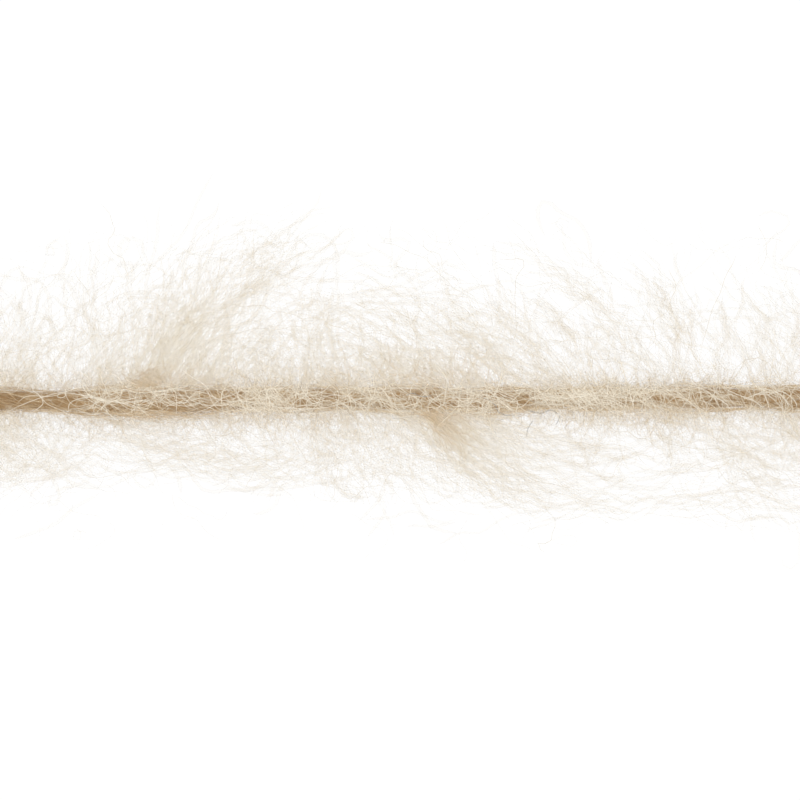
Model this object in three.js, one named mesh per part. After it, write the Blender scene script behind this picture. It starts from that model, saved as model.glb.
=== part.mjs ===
// A cut length of brushed knitting yarn lying on a flat surface.
//
// Units are millimetres. +X runs along the strand, +Y across it on the surface, +Z up.
// The origin lies on the surface, under the middle of the strand.
//
// The yarn is one piece. Two plies are twisted into a thin strand, and brushing has drawn
// fibres out of it into a pile that lies spread on both sides, gathered in slanting locks.
// The solid is one loft along X: a flat underside, a thin edge where the pile ends, a top that
// climbs in soft ridges to the strand, and the strand's round back with the grooves of its twist.

import * as THREE from 'three';

// Driving dimensions.
const YARN_LENGTH = 40;
const STRAND_DIAMETER = 1.1;
const STRAND_CENTRE_HEIGHT = 1.3;
const PLIES = 2;
const TWIST_PITCH = 8.0;
const PLY_GROOVE_DEPTH = 0.16;
const PILE_EDGE_THICKNESS = 0.4;
const PILE_FOOT_ANGLE = THREE.MathUtils.degToRad(-12);

// The locks that the pile is gathered in.
const LOCK_SPACING = 2.7;
const LOCK_LEAN = 0.55;
const LOCK_RELIEF = 0.13;
const LOCK_SCALLOP = 0.22;

// How finely the loft is faceted.
const STATIONS_ALONG = 100;
const POINTS_OVER_STRAND = 11;
const POINTS_OVER_PILE = 7;

// One row for each length of yarn where the pile changes.
//   along      distance from the middle of the yarn
//   sway       how far the strand's centre wanders across
//   stoutness  strand thickness there, as a share of STRAND_DIAMETER
//   farReach   how far the pile spreads on the +Y side
//   farFall    how fast the pile drops away there: below 1 stays full, above 1 thins quickly
//   nearReach  the same two for the -Y side
//   nearFall
const YARN_ROWS = [
  { along: -20.0, sway: -0.06, stoutness: 0.90, farReach: 3.7, farFall: 1.4, nearReach: 3.0, nearFall: 1.4 },
  { along: -15.6, sway: -0.02, stoutness: 0.92, farReach: 4.2, farFall: 1.5, nearReach: 3.4, nearFall: 1.3 },
  { along: -13.5, sway: -0.06, stoutness: 1.00, farReach: 5.0, farFall: 1.3, nearReach: 3.5, nearFall: 1.5 },
  { along: -11.4, sway: -0.08, stoutness: 1.14, farReach: 5.4, farFall: 0.9, nearReach: 2.6, nearFall: 1.7 },
  { along: -9.4, sway: -0.06, stoutness: 1.16, farReach: 5.6, farFall: 0.6, nearReach: 3.0, nearFall: 1.7 },
  { along: -7.3, sway: 0.00, stoutness: 1.04, farReach: 6.2, farFall: 0.8, nearReach: 3.5, nearFall: 1.4 },
  { along: -4.6, sway: 0.04, stoutness: 0.96, farReach: 6.5, farFall: 1.2, nearReach: 3.7, nearFall: 1.1 },
  { along: -3.0, sway: 0.05, stoutness: 0.94, farReach: 6.0, farFall: 1.5, nearReach: 3.5, nearFall: 1.0 },
  { along: -1.0, sway: 0.03, stoutness: 0.96, farReach: 4.8, farFall: 1.0, nearReach: 3.3, nearFall: 1.0 },
  { along: 1.0, sway: 0.00, stoutness: 1.06, farReach: 4.5, farFall: 0.9, nearReach: 3.6, nearFall: 0.6 },
  { along: 3.1, sway: -0.04, stoutness: 1.04, farReach: 5.2, farFall: 1.2, nearReach: 4.0, nearFall: 0.7 },
  { along: 5.2, sway: 0.00, stoutness: 0.90, farReach: 4.9, farFall: 1.3, nearReach: 4.5, nearFall: 0.9 },
  { along: 7.3, sway: 0.05, stoutness: 0.84, farReach: 4.8, farFall: 1.4, nearReach: 4.6, nearFall: 1.3 },
  { along: 9.4, sway: 0.06, stoutness: 0.82, farReach: 5.2, farFall: 1.2, nearReach: 4.3, nearFall: 1.5 },
  { along: 11.4, sway: 0.07, stoutness: 0.94, farReach: 4.6, farFall: 1.5, nearReach: 3.8, nearFall: 1.2 },
  { along: 13.5, sway: 0.08, stoutness: 1.00, farReach: 3.7, farFall: 1.6, nearReach: 4.1, nearFall: 1.0 },
  { along: 15.6, sway: 0.06, stoutness: 0.98, farReach: 4.5, farFall: 1.3, nearReach: 4.3, nearFall: 1.0 },
  { along: 20.0, sway: 0.02, stoutness: 0.92, farReach: 3.9, farFall: 1.5, nearReach: 3.6, nearFall: 1.4 },
];

// One column of YARN_ROWS at any distance along, eased smoothly from row to row.
function rowValue(column, along) {
  const next = Math.max(1, YARN_ROWS.findIndex((row) => row.along >= along));
  const before = YARN_ROWS[next - 1];
  const after = YARN_ROWS[next];
  const share = THREE.MathUtils.smoothstep(along, before.along, after.along);
  return THREE.MathUtils.lerp(before[column], after[column], share);
}

// Where a place lies between one lock (1) and the gap beside it (-1). Locks lean as they go out.
function lockWave(along, outward) {
  return Math.cos((2 * Math.PI * (along - LOCK_LEAN * outward)) / LOCK_SPACING);
}

// A point on the strand's surface. Angle 0 points to +Y and a quarter turn points up.
function strandPoint(along, angle) {
  const turn = (2 * Math.PI * along) / TWIST_PITCH;
  const groove = PLY_GROOVE_DEPTH * (0.5 - 0.5 * Math.cos(PLIES * (angle - turn)));
  const radius = (STRAND_DIAMETER / 2) * rowValue('stoutness', along) - groove;
  const across = rowValue('sway', along) + radius * Math.cos(angle);
  const height = STRAND_CENTRE_HEIGHT + radius * Math.sin(angle);
  return new THREE.Vector2(across, height);
}

// The pile's top from the strand's foot out to its edge, the foot itself left out.
function pileTop(along, foot, reach, side, fall) {
  const scallop = LOCK_SCALLOP * lockWave(along, reach);
  const edgeAcross = rowValue('sway', along) + side * (reach + scallop);
  const points = [];
  for (let step = 1; step <= POINTS_OVER_PILE; step += 1) {
    const outward = step / POINTS_OVER_PILE;
    const climb = (foot.y - PILE_EDGE_THICKNESS) * (1 - outward) ** fall;
    const ridge = LOCK_RELIEF * Math.sin(Math.PI * outward) * lockWave(along, outward * reach);
    const across = THREE.MathUtils.lerp(foot.x, edgeAcross, outward);
    points.push(new THREE.Vector2(across, PILE_EDGE_THICKNESS + climb + ridge));
  }
  return points;
}

// The closed outline of the yarn across its length, anticlockwise seen from +X.
function yarnSection(along) {
  const strandBack = [];
  for (let step = 0; step < POINTS_OVER_STRAND; step += 1) {
    const share = step / (POINTS_OVER_STRAND - 1);
    const angle = THREE.MathUtils.lerp(PILE_FOOT_ANGLE, Math.PI - PILE_FOOT_ANGLE, share);
    strandBack.push(strandPoint(along, angle));
  }
  const farTop = pileTop(along, strandBack[0], rowValue('farReach', along), 1, rowValue('farFall', along));
  const nearTop = pileTop(along, strandBack.at(-1), rowValue('nearReach', along), -1, rowValue('nearFall', along));
  const farFoot = new THREE.Vector2(farTop.at(-1).x, 0);
  const nearFoot = new THREE.Vector2(nearTop.at(-1).x, 0);
  return [farFoot, ...farTop.reverse(), ...strandBack, ...nearTop, nearFoot];
}

// A closed solid through the sections, capped flat at both ends.
function loftAlong(sections) {
  const ring = sections[0].outline.length;
  const positions = [];
  for (const { along, outline } of sections) {
    for (const point of outline) {
      positions.push(along, point.x, point.y);
    }
  }
  const faces = [];
  for (let station = 0; station < sections.length - 1; station += 1) {
    for (let side = 0; side < ring; side += 1) {
      const here = station * ring + side;
      const beside = station * ring + ((side + 1) % ring);
      faces.push(here, beside, here + ring);
      faces.push(beside, beside + ring, here + ring);
    }
  }
  const lastRing = (sections.length - 1) * ring;
  for (const [a, b, c] of THREE.ShapeUtils.triangulateShape(sections[0].outline, [])) {
    faces.push(a, c, b);
  }
  for (const [a, b, c] of THREE.ShapeUtils.triangulateShape(sections.at(-1).outline, [])) {
    faces.push(lastRing + a, lastRing + b, lastRing + c);
  }
  const geometry = new THREE.BufferGeometry();
  geometry.setAttribute('position', new THREE.Float32BufferAttribute(positions, 3));
  geometry.setIndex(faces);
  geometry.computeVertexNormals();
  return geometry;
}

function makeYarn() {
  const sections = [];
  for (let station = 0; station <= STATIONS_ALONG; station += 1) {
    const along = YARN_LENGTH * (station / STATIONS_ALONG - 0.5);
    sections.push({ along, outline: yarnSection(along) });
  }
  const fibre = new THREE.MeshStandardMaterial({ color: 0xdfceb3, roughness: 0.85, metalness: 0 });
  const yarn = new THREE.Mesh(loftAlong(sections), fibre);
  yarn.name = 'yarn';
  return yarn;
}

const brushedYarn = new THREE.Group();
brushedYarn.add(makeYarn());

export default brushedYarn;
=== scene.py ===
import math
from functools import partial

import bpy
import numpy as np
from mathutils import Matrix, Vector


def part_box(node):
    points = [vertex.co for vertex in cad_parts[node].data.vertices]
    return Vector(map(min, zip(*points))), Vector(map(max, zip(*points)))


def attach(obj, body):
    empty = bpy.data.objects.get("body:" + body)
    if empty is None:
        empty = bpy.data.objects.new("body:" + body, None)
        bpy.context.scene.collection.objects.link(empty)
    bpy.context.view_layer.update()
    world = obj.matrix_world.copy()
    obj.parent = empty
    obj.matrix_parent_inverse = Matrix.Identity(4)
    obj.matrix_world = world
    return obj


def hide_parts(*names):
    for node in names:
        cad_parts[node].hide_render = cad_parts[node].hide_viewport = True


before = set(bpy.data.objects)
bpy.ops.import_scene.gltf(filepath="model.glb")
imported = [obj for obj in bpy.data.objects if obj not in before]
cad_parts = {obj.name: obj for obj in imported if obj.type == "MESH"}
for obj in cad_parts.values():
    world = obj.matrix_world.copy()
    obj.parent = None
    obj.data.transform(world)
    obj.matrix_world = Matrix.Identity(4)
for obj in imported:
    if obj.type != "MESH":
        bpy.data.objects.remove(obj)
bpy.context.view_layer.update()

# ---------------------------------------------------------------------------------------------
# A cut length of brushed knitting yarn. Shapes are worked out in millimetres and put into
# Blender in metres. +X runs along the strand, +Y is the far side, +Z is up from the surface.
# ---------------------------------------------------------------------------------------------

MM = 0.001

YARN_LOW, YARN_HIGH = (np.array(corner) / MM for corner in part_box("yarn"))
HALF_LENGTH = (YARN_HIGH[0] - YARN_LOW[0]) / 2
STRAND_END = HALF_LENGTH - 0.05
FIBRE_END = HALF_LENGTH - 0.1

STRAND_DIAMETER = 1.1
STRAND_HEIGHT = 1.3
TWIST_PITCH = 8.0
PLIES = 2
PLY_GROOVE = 0.13

# Where the strand's centre runs and how stout it is, the same rows as the solid has.
STRAND_ROUTE = [
    # along   sway  stoutness
    (-20.0, -0.06, 0.90),
    (-15.6, -0.02, 0.92),
    (-13.5, -0.06, 1.00),
    (-11.4, -0.08, 1.14),
    (-9.4, -0.06, 1.16),
    (-7.3, 0.00, 1.04),
    (-4.6, 0.04, 0.96),
    (-3.0, 0.05, 0.94),
    (-1.0, 0.03, 0.96),
    (1.0, 0.00, 1.06),
    (3.1, -0.04, 1.04),
    (5.2, 0.00, 0.90),
    (7.3, 0.05, 0.84),
    (9.4, 0.06, 0.82),
    (11.4, 0.07, 0.94),
    (13.5, 0.08, 1.00),
    (15.6, 0.06, 0.98),
    (20.0, 0.02, 0.92),
]

# How much of the strand's back the loose fibres cover, how far round they lie (1 is the far side,
# and -1 the near side), and which way they run, in degrees from the strand.
STRAND_COVER = [
    # along  cover  side  run
    (-20.0, 0.12, 0.0, 5),
    (-14.4, 0.08, 0.1, 0),
    (-12.8, 0.36, 0.5, -8),
    (-11.4, 0.60, 0.4, -8),
    (-9.6, 0.48, 0.6, -14),
    (-7.4, 0.60, 0.4, -26),
    (-5.6, 0.95, 0.0, -30),
    (-3.8, 0.62, 0.2, -30),
    (-2.4, 0.74, 0.1, -30),
    (-1.6, 0.72, 0.2, -24),
    (-0.5, 0.95, 0.0, -16),
    (0.6, 0.75, -0.1, -12),
    (2.0, 0.75, 0.2, -14),
    (3.2, 0.90, 0.0, -18),
    (4.6, 0.80, 0.1, -22),
    (6.4, 0.95, 0.3, -34),
    (9.6, 0.95, 0.4, -36),
    (11.2, 0.76, 0.3, -38),
    (14.0, 0.82, 0.3, -46),
    (16.0, 0.72, 0.2, -50),
    (20.0, 0.45, 0.0, -46),
]

# Patches where the loose fibres part and the strand's body shows: place along, place across, and
# half the length and half the width.
BARE_PATCHES = [
    (-15.4, 0.00, 0.90, 0.40),
    (-13.4, -0.08, 0.46, 0.34),
    (-12.8, -0.30, 0.60, 0.26),
    (-10.9, -0.36, 0.55, 0.20),
    (-9.8, -0.55, 0.25, 0.12),
    (-8.6, -0.38, 0.45, 0.22),
    (-8.6, 0.12, 0.30, 0.13),
    (-7.6, -0.40, 0.32, 0.16),
    (-7.4, 0.26, 0.35, 0.24),
    (-6.5, 0.24, 0.38, 0.15),
    (-4.0, -0.18, 0.32, 0.16),
    (-3.4, -0.32, 0.32, 0.17),
    (-2.8, 0.05, 0.22, 0.19),
    (-2.9, 0.46, 0.20, 0.10),
    (-1.1, -0.10, 0.18, 0.11),
    (-0.2, 0.25, 0.22, 0.14),
    (0.6, 0.34, 0.36, 0.14),
    (1.3, -0.34, 0.42, 0.22),
    (1.9, -0.08, 0.25, 0.12),
    (3.1, -0.20, 0.25, 0.10),
    (3.7, 0.20, 0.36, 0.13),
    (4.9, -0.08, 0.42, 0.20),
    (4.8, -0.35, 0.32, 0.14),
    (5.9, -0.44, 0.25, 0.10),
    (9.2, -0.20, 0.24, 0.10),
    (10.2, 0.10, 0.36, 0.12),
    (11.0, -0.12, 0.40, 0.18),
    (11.8, 0.05, 0.26, 0.20),
    (12.5, -0.26, 0.36, 0.15),
    (13.4, 0.20, 0.24, 0.14),
    (14.0, 0.32, 0.30, 0.14),
    (14.8, -0.10, 0.32, 0.24),
    (15.6, 0.22, 0.42, 0.14),
    (13.2, -0.36, 0.36, 0.12),
    (15.9, -0.20, 0.36, 0.16),
]

LOCK_COLUMNS = ("along", "spread", "lean", "sweep", "fan", "reach", "least", "wisps", "curl")
FAR_LOCKS = [
    (-18.6, 1.4, 0, 5, 22, 4.8, 0.1, 16, 0.7),
    (-15.8, 1.6, 4, 8, 22, 5.9, 0.1, 13, 0.7),
    (-13.4, 1.4, 2, 18, 18, 6.0, 0.1, 9, 0.5),
    (-11.6, 1.0, 8, 20, 14, 6.0, 0.1, 7, 0.4),
    (-9.7, 1.8, 14, 26, 12, 7.2, 0.3, 14, 0.25),
    (-10.0, 1.3, 10, 18, 15, 5.0, 0.1, 10, 0.3),
    (-7.9, 0.9, 12, 26, 12, 6.8, 0.2, 7, 0.25),
    (-6.2, 1.4, -2, 6, 12, 3.8, 0.1, 10, 0.5),
    (-3.8, 1.4, -4, -4, 12, 4.6, 0.1, 12, 0.4),
    (-1.2, 1.2, -18, -16, 18, 4.6, 0.1, 10, 0.5),
    (1.0, 1.2, -25, -20, 22, 4.6, 0.1, 10, 0.5),
    (3.2, 1.2, -35, -20, 18, 6.0, 0.1, 6, 0.4),
    (6.2, 1.6, -42, -16, 14, 6.4, 0.2, 12, 0.3),
    (8.8, 1.0, -22, -16, 14, 5.6, 0.1, 5, 0.4),
    (11.0, 0.9, -4, -32, 11, 6.2, 0.2, 6, 0.35),
    (13.8, 1.5, -8, -14, 16, 5.4, 0.1, 4, 0.4),
    (16.0, 1.3, -20, -6, 14, 6.4, 0.1, 6, 0.4),
    (18.8, 1.2, -18, -8, 20, 5.0, 0.1, 6, 0.6),
]
NEAR_LOCKS = [
    (-18.6, 1.4, 20, 10, 28, 3.5, 0.1, 10, 0.8),
    (-16.0, 1.4, 15, 5, 30, 3.9, 0.1, 10, 0.8),
    (-13.4, 1.3, 40, 40, 24, 3.0, 0.1, 5, 0.6),
    (-11.0, 1.2, 45, 35, 16, 3.0, 0.1, 6, 0.5),
    (-8.6, 1.3, 45, 35, 16, 3.2, 0.1, 6, 0.4),
    (-6.0, 1.4, 35, 40, 24, 3.7, 0.1, 7, 0.6),
    (-3.2, 1.3, 35, 5, 22, 4.2, 0.1, 11, 0.6),
    (-0.8, 1.2, 30, 10, 24, 4.2, 0.1, 12, 0.6),
    (0.9, 1.2, 34, 32, 15, 4.5, 0.2, 11, 0.25),
    (2.2, 1.4, 36, 30, 16, 4.8, 0.2, 11, 0.3),
    (2.4, 0.8, 44, 36, 12, 4.6, 0.1, 6, 0.2),
    (4.8, 1.4, 50, 30, 16, 4.0, 0.1, 2, 0.4),
    (7.4, 1.2, 45, 25, 20, 3.0, 0.1, 5, 0.5),
    (10.4, 1.2, 40, 25, 20, 3.0, 0.1, 6, 0.5),
    (12.8, 1.2, 45, 25, 20, 4.4, 0.1, 6, 0.4),
    (15.2, 1.2, 35, 15, 24, 4.8, 0.1, 9, 0.5),
    (17.8, 1.8, 30, 15, 26, 4.8, 0.1, 11, 0.6),
]

# Fibres that run on in the pile past their roots. Out is from the strand's centre, and run is
# their way, in degrees from the strand.
DRIFT_COLUMNS = ("first", "last", "low", "high", "run", "fan", "fibres", "curl")
FAR_DRIFTS = [
    (-20.0, -14.0, 1.2, 4.4, 80, 35, 26, 0.7),
    (-14.0, -10.0, 2.0, 5.6, 66, 24, 20, 0.5),
    (-10.6, -6.0, 2.4, 6.4, 60, 16, 18, 0.2),
    (-7.6, -2.4, 4.8, 7.0, 34, 25, 14, 0.3),
    (-7.4, -2.0, 1.0, 3.0, 92, 18, 20, 0.4),
    (-3.0, 2.0, 3.8, 6.0, -6, 18, 9, 0.5),
    (-1.0, 4.0, 1.0, 4.0, -38, 18, 20, 0.3),
    (3.0, 8.6, 1.2, 6.0, -40, 14, 36, 0.2),
    (7.6, 12.0, 1.2, 5.4, -76, 16, 16, 0.4),
    (12.0, 20.0, 1.2, 6.0, -70, 22, 22, 0.4),
    (-18.0, 18.0, 5.0, 7.2, 60, 60, 36, 1.0),
]
NEAR_DRIFTS = [
    (-20.0, -16.0, 0.9, 3.2, -15, 45, 38, 1.0),
    (-16.0, -12.0, 1.2, 3.6, 22, 26, 36, 0.8),
    (-12.0, -5.6, 1.0, 3.1, -10, 14, 48, 0.3),
    (-6.4, -3.4, 1.4, 3.8, 20, 24, 20, 0.5),
    (-2.6, 0.0, 1.2, 3.6, -12, 30, 28, 0.6),
    (-2.2, 0.2, 2.4, 3.6, -10, 30, 14, 0.6),
    (0.6, 5.0, 1.6, 4.2, -20, 14, 24, 0.2),
    (4.4, 9.0, 3.0, 4.6, -2, 10, 10, 0.3),
    (8.0, 13.0, 2.0, 4.4, -2, 16, 16, 0.5),
    (12.0, 20.0, 1.6, 4.8, -14, 14, 50, 0.3),
    (13.8, 17.0, 2.4, 4.0, -26, 16, 26, 0.4),
    (-17.0, -14.6, 0.9, 2.6, 0, 40, 40, 1.0),
    (-18.0, 19.0, 4.0, 5.8, -20, 60, 26, 0.8),
]

# Tresses: fibres that keep together along a bent line. Each has its start, a place it passes and
# its end (along the strand, then out from its centre), its breadth at the end and its fibres.
TRESS_COLUMNS = ("start", "start_out", "by", "by_out", "end", "end_out", "breadth", "fibres")
FAR_TRESSES = [
    (-9.9, 0.8, -8.7, 3.2, -6.2, 5.8, 0.75, 22),
    (-8.0, 1.0, -7.3, 3.4, -5.2, 5.8, 0.55, 18),
    (-10.2, 0.9, -9.0, 3.6, -7.0, 6.4, 0.75, 12),
    (-7.6, 2.4, -5.6, 4.8, -2.8, 6.6, 0.60, 22),
    (-6.8, 4.6, -5.2, 5.9, -3.2, 6.7, 0.60, 13),
    (-3.6, 0.8, -3.4, 2.6, -3.1, 4.6, 0.45, 14),
    (-5.4, 0.8, -5.3, 2.0, -5.0, 3.0, 0.45, 12),
    (-2.2, 3.9, 0.0, 4.5, 2.8, 4.6, 0.45, 5),
    (4.8, 0.9, 2.8, 2.6, 0.8, 4.0, 0.65, 15),
    (6.6, 1.0, 4.4, 2.8, 2.0, 3.8, 0.60, 15),
    (7.4, 1.3, 6.6, 2.9, 5.1, 3.9, 0.22, 16),
    (9.6, 0.9, 8.8, 2.4, 7.2, 4.0, 0.45, 9),
    (9.4, 2.4, 6.8, 4.6, 3.6, 5.8, 0.55, 12),
    (12.0, 1.0, 11.1, 3.0, 9.7, 5.3, 0.38, 20),
    (11.2, 3.3, 10.4, 4.2, 9.6, 5.2, 0.22, 8),
    (13.4, 0.9, 13.0, 2.2, 12.0, 3.8, 0.30, 8),
    (16.8, 1.0, 15.9, 2.6, 14.2, 4.2, 0.40, 6),
    (19.6, 1.2, 16.4, 3.6, 14.6, 6.0, 0.55, 8),
]
NEAR_TRESSES = [
    (1.2, 0.7, 2.6, 1.8, 5.6, 3.1, 0.70, 28),
    (0.4, 0.8, 0.8, 2.2, 3.2, 3.4, 0.60, 18),
    (2.6, 3.0, 5.2, 3.8, 8.6, 4.1, 0.42, 8),
    (1.4, 1.8, 3.2, 3.0, 5.4, 3.9, 0.50, 15),
    (4.2, 2.8, 8.0, 3.9, 12.0, 3.2, 0.45, 6),
    (9.4, 4.2, 13.0, 4.0, 16.6, 4.6, 0.45, 10),
    (-13.0, 1.0, -9.0, 1.9, -5.0, 2.8, 0.60, 20),
    (-10.4, 1.8, -6.6, 2.8, -2.6, 2.6, 0.55, 11),
    (-3.6, 0.9, -3.1, 2.2, -2.7, 3.6, 0.45, 18),
    (-2.8, 3.0, -2.2, 3.7, -1.4, 3.8, 0.14, 10),
    (-20.0, 2.3, -18.5, 3.8, -16.0, 2.0, 0.30, 13),
    (-18.0, 1.4, -15.0, 3.0, -13.2, 1.6, 0.40, 12),
    (6.6, 0.9, 7.4, 1.8, 8.0, 2.6, 0.40, 12),
    (9.8, 0.8, 10.8, 1.9, 11.8, 2.8, 0.45, 18),
    (12.0, 1.0, 13.6, 2.4, 15.6, 3.6, 0.60, 16),
    (15.4, 1.0, 16.8, 2.6, 19.0, 3.4, 0.60, 22),
]

# Denser tresses where the big plumes leave the strand, browner as painted shade of the crowded
# fibres there.
FAR_ROOTS = [
    (-11.2, 0.50, -10.4, 0.62, -9.4, 0.8, 0.24, 40),
    (-10.6, 0.50, -10.0, 0.8, -9.4, 1.5, 0.36, 40),
]
NEAR_ROOTS = [
    (0.3, 0.25, 1.5, 0.72, 2.8, 1.8, 0.24, 70),
    (1.0, 0.40, 1.5, 1.0, 2.4, 2.1, 0.34, 34),
    (-19.8, 0.5, -19.1, 0.9, -18.6, 1.6, 0.28, 40),
    (-11.6, 0.50, -10.2, 0.62, -8.4, 0.64, 0.14, 44),
]

# Single fibres that stand out, each by the places it passes.
PALE_STRAYS = [
    [(-15.7, -0.50), (-15.2, -0.26), (-14.6, -0.02), (-14.0, 0.18), (-13.5, 0.30), (-13.3, 0.22),
     (-13.4, 0.10), (-13.6, 0.12), (-13.5, 0.28), (-12.9, 0.24), (-12.0, 0.02), (-11.2, -0.20)],
    [(-14.6, -0.46), (-14.2, -0.16), (-14.3, 0.14), (-14.6, 0.36)],
    [(-13.2, -0.42), (-13.1, -0.12), (-12.7, 0.06), (-12.1, 0.12), (-11.6, -0.02)],
    [(-9.4, 0.50), (-9.3, 0.12), (-9.0, -0.14), (-8.5, -0.24), (-8.0, -0.16)],
    [(-8.6, 0.52), (-8.4, 0.10), (-7.9, -0.16), (-7.2, -0.22), (-6.6, -0.10)],
    [(-7.8, 0.50), (-7.5, 0.16), (-7.0, -0.02), (-6.2, -0.06), (-5.4, -0.22)],
    [(-5.0, -0.26), (-4.0, -0.34), (-3.0, -0.30), (-2.0, -0.06), (-1.2, 0.14)],
    [(-12.5, -0.44), (-12.1, -0.12), (-11.8, 0.02), (-11.4, 0.26), (-10.9, 0.34)],
    [(-12.6, 0.34), (-12.2, 0.10), (-11.8, -0.02), (-11.4, -0.22), (-11.0, -0.50)],
    [(-12.0, 0.46), (-11.9, 0.16), (-11.8, -0.04), (-11.7, -0.30), (-11.6, -0.56)],
    [(-12.9, 0.22), (-12.3, 0.16), (-11.8, 0.00), (-11.0, -0.14), (-10.3, -0.40)],
    [(-11.9, -0.52), (-11.8, -0.24), (-11.4, -0.04), (-10.8, 0.02), (-10.2, 0.16)],
    [(11.5, 0.45), (11.5, 0.12), (11.3, -0.20), (11.1, -0.50)],
    [(12.0, 0.42), (12.5, 0.14), (12.9, -0.10), (13.2, -0.42)],
    [(12.9, 0.46), (13.4, 0.22), (14.0, 0.00), (14.5, -0.36)],
    [(13.6, 0.02), (14.1, 0.20), (14.5, 0.40), (14.6, 0.56)],
    [(14.2, 0.50), (14.9, 0.34), (15.3, 0.04), (15.5, -0.32)],
    [(14.9, 0.46), (15.4, 0.22), (15.7, -0.06), (15.8, -0.34)],
]
GREY_STRAYS = [
    [(3.2, 0.10), (3.5, 0.02), (3.8, -0.22), (3.9, -0.44), (4.2, -0.60), (4.6, -0.62)],
    [(5.0, -0.40), (5.6, -0.52), (6.0, -0.40), (6.3, -0.56)],
    [(6.36, -0.60), (6.30, -0.78), (6.20, -0.98)],
    [(5.3, -0.80), (5.1, -1.10), (5.0, -1.50)],
    [(0.2, 0.16), (0.5, 0.26), (0.9, 0.14), (1.3, 0.18)],
]

# Dense short tufts, close to the strand. Side is 1 for the far side and -1 for the near side.
TUFTS = [
    (-9.6, 1.2, 1, 10, 1.4, 140),
    (-13.0, 1.6, 1, 0, 1.0, 130),
    (-18.3, 1.7, 1, 0, 1.6, 220),
    (-15.8, 1.0, 1, 0, 1.2, 60),
    (-5.0, 2.4, 1, 0, 1.3, 200),
    (1.2, 1.8, 1, -15, 1.9, 260),
    (11.0, 1.0, 1, 0, 0.9, 60),
    (7.6, 1.8, 1, 0, 0.9, 200),
    (13.4, 1.3, 1, 0, 0.7, 100),
    (1.6, 1.0, -1, 42, 1.6, 90),
    (-3.2, 1.0, -1, 10, 1.3, 130),
    (-7.4, 1.4, -1, 20, 1.0, 140),
    (-11.4, 1.3, -1, 20, 1.1, 170),
    (-15.6, 1.4, -1, 0, 1.0, 100),
    (-18.6, 1.4, -1, 0, 1.8, 150),
    (5.2, 1.0, -1, 10, 0.7, 90),
    (7.4, 0.9, -1, 10, 1.1, 130),
    (-5.4, 0.9, -1, 10, 1.4, 60),
    (9.0, 0.9, -1, 0, 1.1, 130),
    (10.6, 0.8, -1, 0, 1.4, 140),
    (13.0, 1.4, -1, 10, 0.9, 70),
    (15.8, 1.2, -1, 0, 1.5, 90),
]


def named_rows(columns, table):
    return [dict(zip(columns, row)) for row in table]


# ---------------------------------------------------------------------------------------------
# The strand's line
# ---------------------------------------------------------------------------------------------


def eased(table, along, column):
    """One column of a table at any distance along, eased from row to row."""
    rows = np.array(table)
    after = np.clip(np.searchsorted(rows[:, 0], along), 1, len(rows) - 1)
    low, high = rows[after - 1], rows[after]
    share = np.clip((along - low[..., 0]) / (high[..., 0] - low[..., 0]), 0, 1)
    share = share * share * (3 - 2 * share)
    return low[..., column] + (high[..., column] - low[..., column]) * share


def strand_centre(along):
    along = np.asarray(along, float)
    return np.stack([along, eased(STRAND_ROUTE, along, 1), np.full(along.shape, STRAND_HEIGHT)], -1)


def strand_radius(along):
    return STRAND_DIAMETER / 2 * eased(STRAND_ROUTE, along, 2)


def on_strand(along, angle, depth):
    """A point at this angle round the strand. Depth 1 is its skin, and 0 its middle."""
    turn = 2 * np.pi * along / TWIST_PITCH
    groove = PLY_GROOVE * (0.5 - 0.5 * np.cos(PLIES * (angle - turn)))
    radius = (strand_radius(along) - groove) * depth
    out = np.stack([np.zeros(np.shape(radius)), np.cos(angle), np.sin(angle)], -1)
    return strand_centre(along) + out * radius[..., None]


# ---------------------------------------------------------------------------------------------
# Fibres: smooth random ways, and the mesh they are made into
# ---------------------------------------------------------------------------------------------


def wander(rng, fibres, points, knots, amount):
    """A smooth random value along each fibre: fibres by points."""
    values = rng.normal(0, 1, (fibres, knots + 1)) * amount
    place = np.linspace(0, knots, points)
    knot = np.minimum(place.astype(int), knots - 1)
    share = place - knot
    share = share * share * (3 - 2 * share)
    return values[:, knot] * (1 - share) + values[:, knot + 1] * share


def frames_along(paths):
    """Two directions across each point of each path, carried along it without twisting."""
    ahead = np.gradient(paths, axis=1)
    ahead /= np.maximum(np.linalg.norm(ahead, axis=2, keepdims=True), 1e-9)
    side = np.cross(ahead[:, 0], [0.0, 0.0, 1.0])
    side += np.array([0.0, 1e-4, 0.0])
    side /= np.linalg.norm(side, axis=1, keepdims=True)
    sides = np.empty_like(paths)
    sides[:, 0] = side
    for point in range(1, paths.shape[1]):
        side = side - ahead[:, point] * (side * ahead[:, point]).sum(1, keepdims=True)
        side /= np.maximum(np.linalg.norm(side, axis=1, keepdims=True), 1e-9)
        sides[:, point] = side
    return sides, np.cross(ahead, sides)


FIBRE_SIDES = 3
TAPER = 0.12
TIP_WIDTH = 0.25

# Each fibre has its own cell of the map, and this is where it begins and how much it fills.
CELL_START, CELL_SPAN = 0.06, 0.88


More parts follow.
